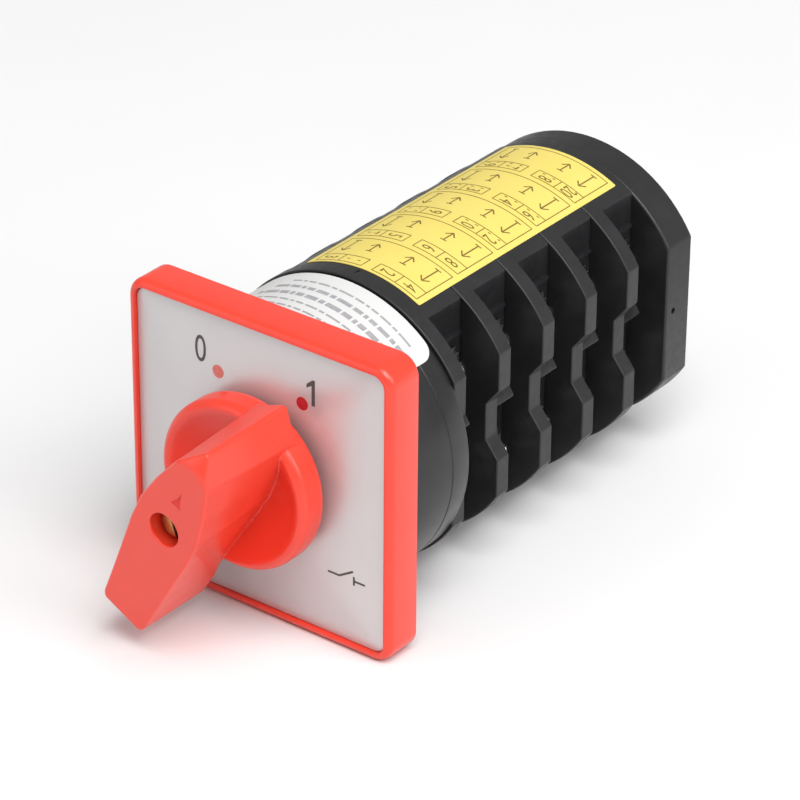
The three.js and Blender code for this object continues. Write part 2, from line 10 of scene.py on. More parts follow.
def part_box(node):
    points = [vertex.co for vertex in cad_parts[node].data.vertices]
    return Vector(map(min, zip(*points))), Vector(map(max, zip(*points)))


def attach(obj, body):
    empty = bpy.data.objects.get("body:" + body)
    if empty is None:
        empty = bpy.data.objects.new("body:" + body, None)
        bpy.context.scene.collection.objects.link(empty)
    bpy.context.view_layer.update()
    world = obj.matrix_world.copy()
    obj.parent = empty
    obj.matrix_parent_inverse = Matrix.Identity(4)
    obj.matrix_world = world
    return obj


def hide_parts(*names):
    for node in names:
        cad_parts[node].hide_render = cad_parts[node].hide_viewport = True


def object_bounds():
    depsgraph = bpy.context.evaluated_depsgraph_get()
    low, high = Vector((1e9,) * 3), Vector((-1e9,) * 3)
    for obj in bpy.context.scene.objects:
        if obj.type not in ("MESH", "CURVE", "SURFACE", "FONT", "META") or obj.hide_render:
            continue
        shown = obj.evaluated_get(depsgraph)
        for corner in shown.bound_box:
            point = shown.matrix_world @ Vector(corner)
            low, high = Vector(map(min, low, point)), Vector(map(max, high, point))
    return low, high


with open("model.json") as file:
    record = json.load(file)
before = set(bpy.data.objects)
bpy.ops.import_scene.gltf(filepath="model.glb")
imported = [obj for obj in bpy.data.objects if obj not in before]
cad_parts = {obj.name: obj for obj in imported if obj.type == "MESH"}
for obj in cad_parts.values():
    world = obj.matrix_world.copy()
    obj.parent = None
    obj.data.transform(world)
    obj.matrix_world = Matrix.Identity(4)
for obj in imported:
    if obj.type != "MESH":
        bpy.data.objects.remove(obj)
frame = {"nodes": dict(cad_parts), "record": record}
CAD_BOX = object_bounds()

bl_info = {
    "name": "Rotary cam switch",
    "version": (1, 0, 0),
    "blender": (4, 5, 0),
    "location": "View3D > Sidebar > Cam switch",
    "description": "Builds the looks of a panel-mounted rotary cam switch round its packed model",
    "category": "Add Mesh",
}

MM = 0.001
BODY = "switch_body"
ROTOR = "rotor"


def span(node, axis):
    """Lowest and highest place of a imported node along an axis, in millimetres."""
    low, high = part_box(node)
    return low[axis] / MM, high[axis] / MM


BEZEL_HALF = span("bezel_frame", 0)[1]
BEZEL_FRONT = span("bezel_frame", 1)[0]
PLATE_HALF = span("dial_plate", 0)[1]
PLATE_FRONT, PLATE_BACK = span("dial_plate", 1)
DRUM_R = span("mechanism_housing", 2)[1]
LAYERS = 5
DISC_R = span("contact_block_1", 2)[1]
FLAT_X = span("contact_block_1", 0)[1]
BLOCK_FRONT, BLOCK_BACK = span("contact_block_1", 1)
PITCH = span("contact_block_2", 1)[0] - BLOCK_FRONT
LAYER_GAP = PITCH - (BLOCK_BACK - BLOCK_FRONT)
STACK_FRONT = BLOCK_FRONT - LAYER_GAP / 2
CAP_FRONT, CAP_BACK = span("end_cap", 1)
CAP_R = span("end_cap", 2)[1]
CHART_SPAN = span("terminal_label", 1)
CHART_FRONT = CHART_SPAN[0] + 0.75
CHART_PITCH = 12.25  # from one layer's row of the chart to the next
CHART_S = 0.6  # how far round the layers the chart's middle is from the top
CHART_HALF = 11.9
BOLT_Z = 24.0  # the two tie bolts stand this far above and below the shaft
BOLT_R = 1.5
BOLT_HOLE_R = 1.65
MOUNT_SCREW_X = 20.0  # the two screws from the bezel to the drum
SHAFT_HOLE_R = 4.95
DISC_THICK = 3.7
FIT = 0.06  # half the gap that shows between two stacked pieces
FILM = 0.09  # thickness of both labels
FILM_LIFT = 0.03  # and their height over what they are wrapped on
INK = 0.02  # thickness of a print
INK_LIFT = 0.004


# ---------------------------------------------------------------- outlines and meshes


def arc(r, start, end, steps, cx=0.0, cz=0.0):
    """Points (x, z) of an arc, in degrees clockwise from +Z as seen from the front."""
    a = np.radians(np.linspace(start, end, steps + 1))
    return np.column_stack((cx + r * np.sin(a), cz + r * np.cos(a)))


def rounded_square(half, corner, steps=12):
    c = half - corner
    places = ((c, c, 0), (c, -c, 90), (-c, -c, 180), (-c, c, 270))
    return np.vstack([arc(corner, a, a + 90, steps, x, z) for x, z, a in places])


def circle(r, count, cx=0.0, cz=0.0, start=0.0):
    return arc(r, start, start + 360, count, cx, cz)[:-1]


def rectangle(x0, x1, z0, z1):
    return np.array([(x0, z0), (x1, z0), (x1, z1), (x0, z1)], float)


def mesh_object(name, points, faces):
    mesh = bpy.data.meshes.new(name)
    mesh.from_pydata((np.asarray(points, float) * MM).tolist(), [], faces)
    made = bpy.data.objects.new(name, mesh)
    bpy.context.scene.collection.objects.link(made)
    return made


def faces_outwards(made):
    """Merges doubles and turns every face of a closed mesh outwards."""
    work = bmesh.new()
    work.from_mesh(made.data)
    bmesh.ops.remove_doubles(work, verts=work.verts, dist=1e-7)
    bmesh.ops.recalc_face_normals(work, faces=work.faces)
    work.to_mesh(made.data)
    work.free()
    return made


def rings_object(name, rings, closed=True):
    """Rings of equally many points bridged in order, closed into a loop or capped at both ends."""
    rings = np.asarray(rings, float)
    levels, count = rings.shape[:2]
    faces = []
    for i in range(levels if closed else levels - 1):
        j = (i + 1) % levels
        for k in range(count):
            n = (k + 1) % count
            faces.append((i * count + k, i * count + n, j * count + n, j * count + k))
    if not closed:
        faces.append(tuple(range(count)))
        faces.append(tuple(range((levels - 1) * count, levels * count)))
    return faces_outwards(mesh_object(name, rings.reshape(-1, 3), faces))


def ring_at(outline, y):
    return np.column_stack((outline[:, 0], np.full(len(outline), y), outline[:, 1]))


def prism(name, outline, y0, y1):
    return rings_object(name, [ring_at(outline, y0), ring_at(outline, y1)], closed=False)


def turned(name, profile, segments=192, cx=0.0, cz=0.0, closed=True):
    """A profile of (radius, y) turned about the Y axis."""
    rings = [ring_at(circle(max(r, 1e-4), segments, cx, cz), y) for r, y in profile]
    return rings_object(name, rings, closed)


def box(name, x, y, z):
    return prism(name, rectangle(min(x), max(x), min(z), max(z)), min(y), max(y))


def settle(made):
    """Turns the modifiers' result into the object's own plain mesh."""
    graph = bpy.context.evaluated_depsgraph_get()
    mesh = bpy.data.meshes.new_from_object(made.evaluated_get(graph))
    made.modifiers.clear()
    old, made.data = made.data, mesh
    mesh.name = made.name
    bpy.data.meshes.remove(old)
    return made


def soften(made, width, segments=3, angle=32):
    """Rounds the sharp edges by a width in millimetres and keeps the flats flat in shading."""
    made.data.shade_smooth()
    bevel = made.modifiers.new("edges", "BEVEL")
    bevel.width = width * MM
    bevel.segments = segments
    bevel.limit_method = "ANGLE"
    bevel.angle_limit = math.radians(angle)
    bevel.harden_normals = True
    return settle(made)


def combine(made, others, operation):
    """Joins the others to the piece, or cuts them out of it, and removes them."""
    for other in others:
        step = made.modifiers.new(other.name, "BOOLEAN")
        step.object = other
        step.operation = operation
        step.solver = "EXACT"
    settle(made)
    for other in others:
        mesh = other.data
        bpy.data.objects.remove(other)
        bpy.data.meshes.remove(mesh)
    return made


def joined(name, pieces):
    """Several meshes as one object, without any boolean."""
    work = bmesh.new()
    for piece in pieces:
        work.from_mesh(piece.data)
    mesh = bpy.data.meshes.new(name)
    work.to_mesh(mesh)
    work.free()
    made = bpy.data.objects.new(name, mesh)
    bpy.context.scene.collection.objects.link(made)
    for piece in pieces:
        old = piece.data
        bpy.data.objects.remove(piece)
        bpy.data.meshes.remove(old)
    return made


def finish_piece(made, body, material, nodes=(), crease=None):
    """Gives a piece its finish, hangs it on its body's empty and hides the imported nodes that it stands
    for.
    """
    made.data.materials.clear()
    made.data.materials.append(material)
    for face in made.data.polygons:
        face.material_index = 0
    if crease is not None:
        made.data.shade_smooth()
        made.data.set_sharp_from_angle(angle=math.radians(crease))
    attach(made, body)
    if nodes:
        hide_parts(*nodes)
    return made


# ---------------------------------------------------------------- repeats


def stack_tree():
    """Geometry Nodes tree that repeats a piece along Y at an even pitch."""
    tree = bpy.data.node_groups.new("Stack along Y", "GeometryNodeTree")
    face = tree.interface
    face.new_socket("Geometry", in_out="INPUT", socket_type="NodeSocketGeometry")
    count = face.new_socket("Count", in_out="INPUT", socket_type="NodeSocketInt")
    pitch = face.new_socket("Pitch", in_out="INPUT", socket_type="NodeSocketFloat")
    finish = face.new_socket("Finish", in_out="INPUT", socket_type="NodeSocketMaterial")
    face.new_socket("Geometry", in_out="OUTPUT", socket_type="NodeSocketGeometry")
    node, link = tree.nodes.new, tree.links.new
    inputs = node("NodeGroupInput")
    step = node("ShaderNodeCombineXYZ")
    line = node("GeometryNodeMeshLine")
    line.mode = "OFFSET"
    place = node("GeometryNodeInstanceOnPoints")
    real = node("GeometryNodeRealizeInstances")
    paint = node("GeometryNodeSetMaterial")
    out = node("NodeGroupOutput")
    link(inputs.outputs["Pitch"], step.inputs["Y"])
    link(inputs.outputs["Count"], line.inputs["Count"])
    link(step.outputs["Vector"], line.inputs["Offset"])
    link(line.outputs["Mesh"], place.inputs["Points"])
    link(inputs.outputs["Geometry"], place.inputs["Instance"])
    link(place.outputs["Instances"], real.inputs["Geometry"])
    link(real.outputs["Geometry"], paint.inputs["Geometry"])
    link(inputs.outputs["Finish"], paint.inputs["Material"])
    link(paint.outputs["Geometry"], out.inputs["Geometry"])
    return tree, {"Count": count.identifier, "Pitch": pitch.identifier, "Finish": finish.identifier}


def stacked(made, count, pitch, material):
    """The piece repeated along Y, as one plain mesh."""
    tree, sockets = stack_tree()
    repeat = made.modifiers.new("stack", "NODES")
    repeat.node_group = tree
    repeat[sockets["Count"]] = count
    repeat[sockets["Pitch"]] = pitch * MM
    repeat[sockets["Finish"]] = material
    settle(made)
    bpy.data.node_groups.remove(tree)
    return made


# ---------------------------------------------------------------- finishes


class Finish:
    """A node material on Object coordinates, with the shader's own sockets for what is even."""

    def __init__(self, name, **even):
        self.material = bpy.data.materials.new(name)
        self.material.use_nodes = True
        self.tree = self.material.node_tree
        self.shader = self.tree.nodes["Principled BSDF"]
        for socket, value in even.items():
            self.shader.inputs[socket.replace("_", " ")].default_value = value
        self.place = self.node("ShaderNodeTexCoord").outputs["Object"]

    def node(self, kind, **settings):
        made = self.tree.nodes.new(kind)
        for key, value in settings.items():
            setattr(made, key, value)
        return made

    def link(self, source, target):
        self.tree.links.new(source, target)

    def noise(self, size, detail=2.0, rough=0.5, stretch=(1, 1, 1)):
        """Noise whose features are about size millimetres across."""
        turn = self.node("ShaderNodeMapping")
        turn.inputs["Scale"].default_value = stretch
        made = self.node("ShaderNodeTexNoise")
        made.inputs["Scale"].default_value = 1 / (size * MM)
        made.inputs["Detail"].default_value = detail
        made.inputs["Roughness"].default_value = rough
        self.link(self.place, turn.inputs["Vector"])
        self.link(turn.outputs["Vector"], made.inputs["Vector"])
        return made.outputs["Fac"]

    def range(self, source, low, high, start=0.3, end=0.7):
        made = self.node("ShaderNodeMapRange")
        made.inputs["From Min"].default_value = start
        made.inputs["From Max"].default_value = end
        made.inputs["To Min"].default_value = low
        made.inputs["To Max"].default_value = high
        self.link(source, made.inputs["Value"])
        return made.outputs["Result"]

    def tint(self, factor, first, second):
        """The base colour between two colours by a factor."""
        mix = self.node("ShaderNodeMix", data_type="RGBA")
        mix.inputs["A"].default_value = (*first, 1)
        mix.inputs["B"].default_value = (*second, 1)
        self.link(factor, mix.inputs["Factor"])
        self.link(mix.outputs["Result"], self.shader.inputs["Base Color"])
        return mix.outputs["Result"]

    def roughness(self, factor, low, high, start=0.3, end=0.7):
        self.link(self.range(factor, low, high, start, end), self.shader.inputs["Roughness"])

    def bump(self, height, depth):
        """Relief of a depth in millimetres."""
        made = self.node("ShaderNodeBump")
        made.inputs["Strength"].default_value = 1.0
        made.inputs["Distance"].default_value = depth * MM
        self.link(height, made.inputs["Height"])
        self.link(made.outputs["Normal"], self.shader.inputs["Normal"])


def red_plastic(colours):
    red = np.array(colours.red)
    made = Finish("red moulded plastic", Specular_IOR_Level=0.62)
    made.tint(made.range(made.noise(9, 3), 0, 1), tuple(red), tuple(red * (0.95, 0.9, 0.92)))
    made.roughness(made.noise(4, 3), 0.285, 0.34)
    return made.material


def black_plastic(colours, name, low, high, grain):
    black = np.array(colours.black)
    made = Finish(name, Specular_IOR_Level=0.5)
    made.tint(made.range(made.noise(6, 4), 0, 1), tuple(black), tuple(black * 1.5))
    made.roughness(made.noise(1.6, 5), low, high)
    made.bump(made.noise(0.25, 3), grain)
    return made.material


def dial_metal(colours):
    silver = np.array(colours.dial)
    made = Finish("satin dial", Metallic=0.5)
    made.tint(made.range(made.noise(14, 2), 0, 1), tuple(silver), tuple(silver * 0.96))
    made.roughness(made.noise(0.3, 3), 0.36, 0.41)
    made.bump(made.noise(0.12, 2), 0.0015)
    return made.material


def printed_film(name, colour, second):
    made = Finish(name, Specular_IOR_Level=0.45)
    made.tint(made.range(made.noise(7, 4), 0, 1), colour, second)
    made.roughness(made.noise(1.2, 3), 0.42, 0.55)
    made.bump(made.noise(3.0, 2), 0.02)
    return made.material


def yellow_film(colours):
    yellow = np.array(colours.chart)
    return printed_film("yellow film", tuple(yellow), tuple(yellow * (0.98, 0.97, 0.9)))


def ink(name, colour):
    made = Finish(name, Specular_IOR_Level=0.3)
    shade = np.array(colour)
    made.tint(made.range(made.noise(0.8, 3), 0, 1), tuple(shade), tuple(shade * 1.25 + 0.01))
    made.roughness(made.noise(0.5, 2), 0.5, 0.65)
    return made.material


def metal(name, colour, low, high, scratch=(1, 1, 1)):
    shade = np.array(colour)
    made = Finish(name, Metallic=1.0)
    made.tint(made.range(made.noise(1.5, 4), 0, 1), tuple(shade), tuple(shade * 0.82))
    made.roughness(made.noise(0.4, 4, stretch=scratch), low, high)
    made.bump(made.noise(0.5, 2, stretch=scratch), 0.002)
    return made.material


def ivory_plastic():
    made = Finish("ivory plastic", Specular_IOR_Level=0.45)
    made.tint(made.range(made.noise(4, 3), 0, 1), (0.75, 0.70, 0.58), (0.68, 0.62, 0.5))
    made.roughness(made.noise(1, 3), 0.4, 0.5)
    made.bump(made.noise(0.3, 2), 0.004)
    return made.material


FINISHES = {}


def make_finishes(colours):
    FINISHES.update(
        red=red_plastic(colours),
        gloss=black_plastic(colours, "polished black plastic", 0.29, 0.35, 0.001),
        black=black_plastic(colours, "moulded black plastic", 0.36, 0.48, 0.008),
        dial=dial_metal(colours),
        white=printed_film("white film", (0.64, 0.64, 0.635), (0.62, 0.62, 0.615)),
        yellow=yellow_film(colours),
        dark_ink=ink("dark ink", (0.07, 0.065, 0.06)),
        grey_ink=ink("grey ink", (0.28, 0.28, 0.29)),
        chart_ink=ink("chart ink", (0.16, 0.11, 0.02)),
        red_ink=ink("red ink", (0.42, 0.012, 0.018)),
        # painted shade: this darker red stands in for the shade inside the handle mark's recess, which is
        # not modelled
        mark_ink=ink("mark painted shade", (0.62, 0.018, 0.018)),
        faded_ink=ink("faded red ink", (0.58, 0.17, 0.14)),
        zinc=metal("zinc plate", (0.70, 0.68, 0.64), 0.12, 0.2),
        steel=metal("drawn steel", (0.45, 0.45, 0.46), 0.3, 0.42, (1, 0.1, 1)),
        brass=metal("brass", (0.66, 0.48, 0.19), 0.29, 0.38),
        ivory=ivory_plastic(),
    )


# ---------------------------------------------------------------- a surface from a field


def round_max(a, b, r):
    """The larger of two distance fields, with a corner of radius r."""
    return np.minimum(np.maximum(a, b), -r) + np.hypot(np.maximum(a + r, 0), np.maximum(b + r, 0))


def round_min(a, b, r):
    """The smaller of two distance fields, with an inner corner of radius r."""
    return -round_max(-a, -b, r)


def surface_net(name, field, low, high, step):
    """The closed surface where the field is nought, on a grid, with its points moved onto the field."""
    axes = [np.arange(a, b + step, step) for a, b in zip(low, high)]
    grid = np.stack(np.meshgrid(*axes, indexing="ij"), axis=-1)
    value = field(grid[..., 0], grid[..., 1], grid[..., 2])
    cells = tuple(n - 1 for n in value.shape)
    total = np.zeros((*cells, 3))
    count = np.zeros(cells)
    corners = [(i, j, k) for i in (0, 1) for j in (0, 1) for k in (0, 1)]

    def at(corner):
        return tuple(slice(c, c + n) for c, n in zip(corner, cells))

    for a in corners:
        for axis in range(3):
            if a[axis]:
                continue
            b = tuple(c + (n == axis) for n, c in enumerate(a))
            va, vb = value[at(a)], value[at(b)]
            cross = (va < 0) != (vb < 0)
            share = np.where(cross, va / np.where(cross, va - vb, 1), 0)
            point = grid[at(a)] + share[..., None] * (grid[at(b)] - grid[at(a)])
            total += np.where(cross[..., None], point, 0)
            count += cross
    used = count > 0
    index = np.full(cells, -1)
    index[used] = np.arange(used.sum())
    points = total[used] / count[used][:, None]
    faces = []
    for axis in range(3):
        b, c = [n for n in range(3) if n != axis]
        lower = [slice(1, n) for n in cells]
        upper = list(lower)
        lower[axis] = slice(0, cells[axis])
        upper[axis] = slice(1, cells[axis] + 1)
        cross = (value[tuple(lower)] < 0) != (value[tuple(upper)] < 0)
        where = np.argwhere(cross)
        start = np.array([0 if n == axis else 1 for n in range(3)])
        base = where + start
        quad = []
        for db, dc in ((0, 0), (1, 0), (1, 1), (0, 1)):
            shift = np.zeros(3, int)
            shift[b], shift[c] = db, dc
            quad.append(index[tuple((base - shift).T)])
        faces.append(np.stack(quad, axis=1))
    points = onto_field(points, field)
    return faces_outwards(mesh_object(name, points, np.vstack(faces).tolist()))


def onto_field(points, field, rounds=4, h=0.02):
    """Moves points down the field's slope until they lie where it is nought."""
    for _ in range(rounds):
        value = field(*points.T)
        slope = np.stack(
            [field(*(points + d).T) - field(*(points - d).T) for d in np.eye(3) * h], axis=1
        ) / (2 * h)
        step = value / np.maximum((slope**2).sum(axis=1), 0.2)
        points = points - np.clip(step, -0.2, 0.2)[:, None] * slope
    return points


# ---------------------------------------------------------------- handle

REST_DEG = 28.5  # where the pointer stands at rest, clockwise from the top
GRIP_U = (-26.9, -25.6, -15.0, -3.5, 2.5, 9.0, 16.4, 22.1)
GRIP_HALF_FRONT = (4.5, 5.2, 6.0, 7.0, 7.0, 5.9, 3.9, 0.0)
GRIP_HALF_LOW = (4.2, 5.0, 4.8, 5.4, 5.8, 5.6, 5.0, 0.0)
GRIP_FRONT_W = 34.0  # height of the tilted front face over the shaft's axis
GRIP_TILT = 0.095
GRIP_LOW_W = 10.2
LEVER_LIFT = 4.4  # how much higher the lever's underside is outside the skirt
POINTER_LIFT = 2.0
STEP_U = 0.8  # length over which the underside steps up
SKIRT_R = 16.6
SKIRT_LOW_W = 8.3
SKIRT_HIGH_W = 15.6
DISH_R = 14.8
DISH_FLOOR_W = 11.6
GRIP_END_U = GRIP_U[0]
COLLAR_R = 7.5
HOLE_R = 3.3
WEB_LOW_W = 24.3
WEB_HIGH_W = 27.0
SOCKET_HALF = 3.15
MARK = np.array([(-1.15, 7.4), (1.15, 7.4), (0.3, 9.4), (0.1, 10.9), (-0.1, 10.9), (-0.3, 9.4)])
HANDLE_STEP = 0.33


def grip_profile(u, values, blur=0.3):
    """A half width along the grip, a little smoothed at its stations."""
    return sum(np.interp(u + d, GRIP_U, values) for d in (-blur, 0, blur)) / 3


def grip_field(x, u, w):
    """The grip: two flanks that lean in below a ridge, a tilted front face and a facet to the tip."""
    side = np.sqrt(x * x + 0.3)
    front = grip_profile(u, GRIP_HALF_FRONT)
    low = grip_profile(u, GRIP_HALF_LOW)
    ridge = 15.0 + np.clip((u + 20.0) / 21.0, 0, 1) * 18.5
    half = low + (front - low) * np.clip((w - 12.0) / (ridge - 12.0), 0, 1)
    slope = (grip_profile(u + 0.5, GRIP_HALF_FRONT) - grip_profile(u - 0.5, GRIP_HALF_FRONT))
    made = (side - half) / np.sqrt(1 + slope**2)
    top = w - GRIP_FRONT_W - GRIP_TILT * u
    facet = 0.85 * (top + 0.62 * (u - 18.0 + 0.11 * x * x))
    made = round_max(made, top, 0.55)
    made = round_max(made, facet, 0.3)
    made = round_max(made, GRIP_END_U - u, 0.8)
    past_lever = np.clip((STEP_U - SKIRT_R - u) / STEP_U, 0, 1)
    past_pointer = np.clip((STEP_U - SKIRT_R + u) / STEP_U, 0, 1)
    underside = GRIP_LOW_W + LEVER_LIFT * past_lever + POINTER_LIFT * past_pointer
    return round_max(made, underside - w, 0.5)


def skirt_field(x, u, w):
    """The round skirt with the dish in its front."""
    reach = np.hypot(x, u)
    depth = SKIRT_HIGH_W - DISH_FLOOR_W
    share = np.clip(reach / DISH_R, 0, 1.2)
    slope = 1.9 * depth / DISH_R * share**0.9
    dish = (w - DISH_FLOOR_W - depth * share**1.9) / np.sqrt(1 + slope**2)
    made = round_max(reach - SKIRT_R, w - SKIRT_HIGH_W, 1.9)
    made = round_max(made, dish, 0.4)
    return round_max(made, SKIRT_LOW_W - w, 2.8)


def handle_field(x, u, w):
    """Grip, skirt and collar, less the shaft's socket and the screw's hole."""
    made = round_min(grip_field(x, u, w), skirt_field(x, u, w), 0.25)
    axis = np.hypot(x, u)
    collar = np.maximum(np.maximum(axis - COLLAR_R, 0.6 - w), w - 10.0)
    made = np.minimum(made, collar)
    turn = math.radians(REST_DEG)
    across = np.abs(x * math.cos(turn) + u * math.sin(turn))
    along = np.abs(-x * math.sin(turn) + u * math.cos(turn))
    socket = np.maximum(np.maximum(across, along) - SOCKET_HALF, w - WEB_LOW_W)
    made = round_max(made, -socket, 0.1)
    made = round_max(made, -(axis - 1.65), 0.1)
    return round_max(made, -np.maximum(axis - HOLE_R, WEB_HIGH_W - w), 0.35)


def turned_to_rest(made):
    """From the handle's own frame, with the pointer along +Z, to where it stands at rest."""
    made.data.transform(Matrix.Rotation(math.radians(REST_DEG), 4, "Y"))
    return made


def make_handle():
    low, high = (-17.4, -28.6, -0.2), (17.4, 22.8, 36.4)
    made = surface_net("handle_shell", handle_field, low, high, HANDLE_STEP)
    for vertex in made.data.vertices:
        x, u, w = vertex.co
        vertex.co = (x, -w, u)
    turned_to_rest(faces_outwards(made))
    smooth_from_field(made)
    return made


def smooth_from_field(made):
    """Shades the handle with the slope of its own field."""
    turn = np.array(Matrix.Rotation(math.radians(REST_DEG), 3, "Y"))
    points = np.array([v.co for v in made.data.vertices]) / MM @ turn
    place = np.column_stack((points[:, 0], points[:, 2], -points[:, 1]))
    step = np.eye(3) * 0.08
    slopes = [handle_field(*(place + d).T) - handle_field(*(place - d).T) for d in step]
    slope = np.stack(slopes, axis=1)
    slope = np.column_stack((slope[:, 0], -slope[:, 2], slope[:, 1])) @ turn.T
    slope /= np.maximum(np.linalg.norm(slope, axis=1, keepdims=True), 1e-9)
    made.data.shade_smooth()
    made.data.normals_split_custom_set_from_vertices(slope.tolist())


def pointer_mark():
    """The small recessed mark on the tilted front face, behind the pointer, drawn as a thin dark red plate
    on the face; its dark red is painted shade of the recess.
    """
    made = prism("handle_mark", MARK, -0.03, 0.3)
    for vertex in made.data.vertices:
        vertex.co.y -= GRIP_FRONT_W * MM + GRIP_TILT * vertex.co.z
    return turned_to_rest(faces_outwards(made))


def slotted_head(name, r, thick, y_front, back, x=0.0, z=0.0, slot=0.9, turn=0.0, segments=64):
    """A screw head along Y with a chamfered rim, a slot and a short neck."""
    e = 0.12 * r
    seat = y_front + back * thick
    profile = [(0, y_front), (r - 2 * e, y_front), (r - 0.6 * e, y_front + back * 0.35 * e)]
    profile += [(r, y_front + back * 1.4 * e), (r, seat), (0, seat)]
    head = turned(name, profile, segments, x, z, closed=False)
    slot_y = (y_front - back, y_front + back * 0.42 * thick)
    cutter = box(name + "_slot", (-r - 1, r + 1), slot_y, (-slot / 2, slot / 2))
    cutter.data.transform(Matrix.Rotation(math.radians(turn), 4, "Y"))
    cutter.data.transform(Matrix.Translation(Vector((x, 0, z)) * MM))
    return combine(head, [cutter], "DIFFERENCE")


# ---------------------------------------------------------------- bezel and dial


def make_bezel():
    """The rounded square frame with its rim and the seat for the dial plate."""
    round_in, round_y = 1.5, 1.5
    profile = [(0.35, 0.0), (0.1, -0.1), (0.0, -0.35)]
    profile += [
        (round_in * (1 - math.cos(a)), BEZEL_FRONT + round_y * (1 - math.sin(a)))
        for a in np.linspace(0, math.pi / 2, 9)
    ]
    inner = BEZEL_HALF - PLATE_HALF - 0.12
    profile += [(inner - 0.06, BEZEL_FRONT + 0.02), (inner, BEZEL_FRONT + 0.12), (inner, PLATE_BACK + 0.1)]
    rings = [ring_at(rounded_square(BEZEL_HALF - d, 4.0 - d), y) for d, y in profile]
    count = len(rings[0])
    hub = circle(COLLAR_R + 0.35, count, start=3.5)
    rings += [ring_at(hub, PLATE_BACK + 0.1), ring_at(hub, 0.0)]
    made = rings_object("bezel", rings)
    screws = []
    for x in (-MOUNT_SCREW_X, MOUNT_SCREW_X):
        screws.append(prism("hole", circle(3.6, 32, x, 0.0), -9, -3.4))
        screws.append(prism("hole", circle(2.1, 32, x, 0.0), -9, 1))
    return combine(made, screws, "DIFFERENCE")


def make_plate():
    edge = 0.12
    outline = [(0, PLATE_BACK), (0, PLATE_FRONT + edge)]
    outline += [(edge * 0.3, PLATE_FRONT + edge * 0.3), (edge, PLATE_FRONT)]
    rings = [ring_at(rounded_square(PLATE_HALF - d, 2.4 - d), y) for d, y in outline]
    hub = circle(COLLAR_R + 0.4, len(rings[0]), start=3.5)
    rings += [ring_at(hub, PLATE_FRONT), ring_at(hub, PLATE_BACK)]
    return rings_object("dial", rings)


def text_shape(words, height, narrow=0.8):
    """Flat points (x, z) and faces of a text, centred on its middle, in millimetres."""
    curve = bpy.data.curves.new("text", "FONT")
    curve.body = words
    curve.align_x, curve.align_y = "CENTER", "CENTER"
    curve.resolution_u = 5
    made = bpy.data.objects.new("text", curve)
    bpy.context.scene.collection.objects.link(made)
    graph = bpy.context.evaluated_depsgraph_get()
    mesh = bpy.data.meshes.new_from_object(made.evaluated_get(graph))
    points = np.array([(v.co.x, v.co.y) for v in mesh.vertices])
    faces = [tuple(f.vertices) for f in mesh.polygons]
    low, high = points.min(0), points.max(0)
    points = (points - (low + high) / 2) * height / (high[1] - low[1])
    points[:, 0] *= narrow
    bpy.data.objects.remove(made)
    bpy.data.curves.remove(curve)
    bpy.data.meshes.remove(mesh)
    return points, faces


def strip_shape(start, end, width, steps=1):
    """A straight line of a width, as flat points and faces."""
    start, end = np.array(start, float), np.array(end, float)
    along = (end - start) / np.linalg.norm(end - start)
    side = np.array((-along[1], along[0])) * width / 2
    t = np.linspace(0, 1, steps + 1)[:, None]
    middle = start + t * (end - start)
    points = np.vstack((middle - side, middle + side))
    n = steps + 1
    faces = [(i, i + 1, n + i + 1, n + i) for i in range(steps)]
    return points, faces


def disc_shape(r, count=40):
    return circle(r, count), [tuple(range(count))]


def moved(shape, x, z, turn=0.0):
    points, faces = shape
    a = math.radians(turn)
    turner = np.array(((math.cos(a), -math.sin(a)), (math.sin(a), math.cos(a))))
    return points @ turner.T + (x, z), faces


def printed(name, shapes, place, lift, thick):
    """Flat shapes as a thin closed layer; place maps (a, b, height) to a point of the object."""
    work = bmesh.new()
    for points, faces in shapes:
        made = [work.verts.new((a * MM, b * MM, 0)) for a, b in points]
        for face in faces:
            work.faces.new([made[i] for i in face])
    bmesh.ops.remove_doubles(work, verts=work.verts, dist=1e-8)
    raised = bmesh.ops.extrude_face_region(work, geom=work.faces[:])
    for item in raised["geom"]:
        if isinstance(item, bmesh.types.BMVert):
            item.co.z = thick * MM
    for vertex in work.verts:
        a, b, h = vertex.co / MM
        vertex.co = Vector(place(a, b, h + lift)) * MM
    bmesh.ops.recalc_face_normals(work, faces=work.faces)
    mesh = bpy.data.meshes.new(name)
    work.to_mesh(mesh)
    work.free()
    made = bpy.data.objects.new(name, mesh)
    bpy.context.scene.collection.objects.link(made)
    return made


def on_plate(a, b, h):
    return (a, PLATE_FRONT - h, b)


def figure_one(height):
    """A plain figure one with its flag."""
    half, top = 0.38, height / 2
    stem = [(-half, -top), (half, -top), (half, top), (-0.15, top)]
    flag = [(-1.5, top - 1.15), (-1.5, top - 1.95), (-half, top - 1.2)]
    return np.array(stem + flag), [tuple(range(7))]


def contact_symbol():
    """A switch contact as it is drawn in circuit plans."""
    lines = [((-4.2, 0), (-1.6, 0)), ((-1.6, 0), (1.5, 1.9))]
    lines += [((1.7, 0), (4.2, 0)), ((1.7, -0.9), (1.7, 0.9))]
    shapes = [strip_shape(a, b, 0.42) for a, b in lines]
    return [moved(shape, 19.6, -15.4) for shape in shapes]


# ---------------------------------------------------------------- drum, layers and cap


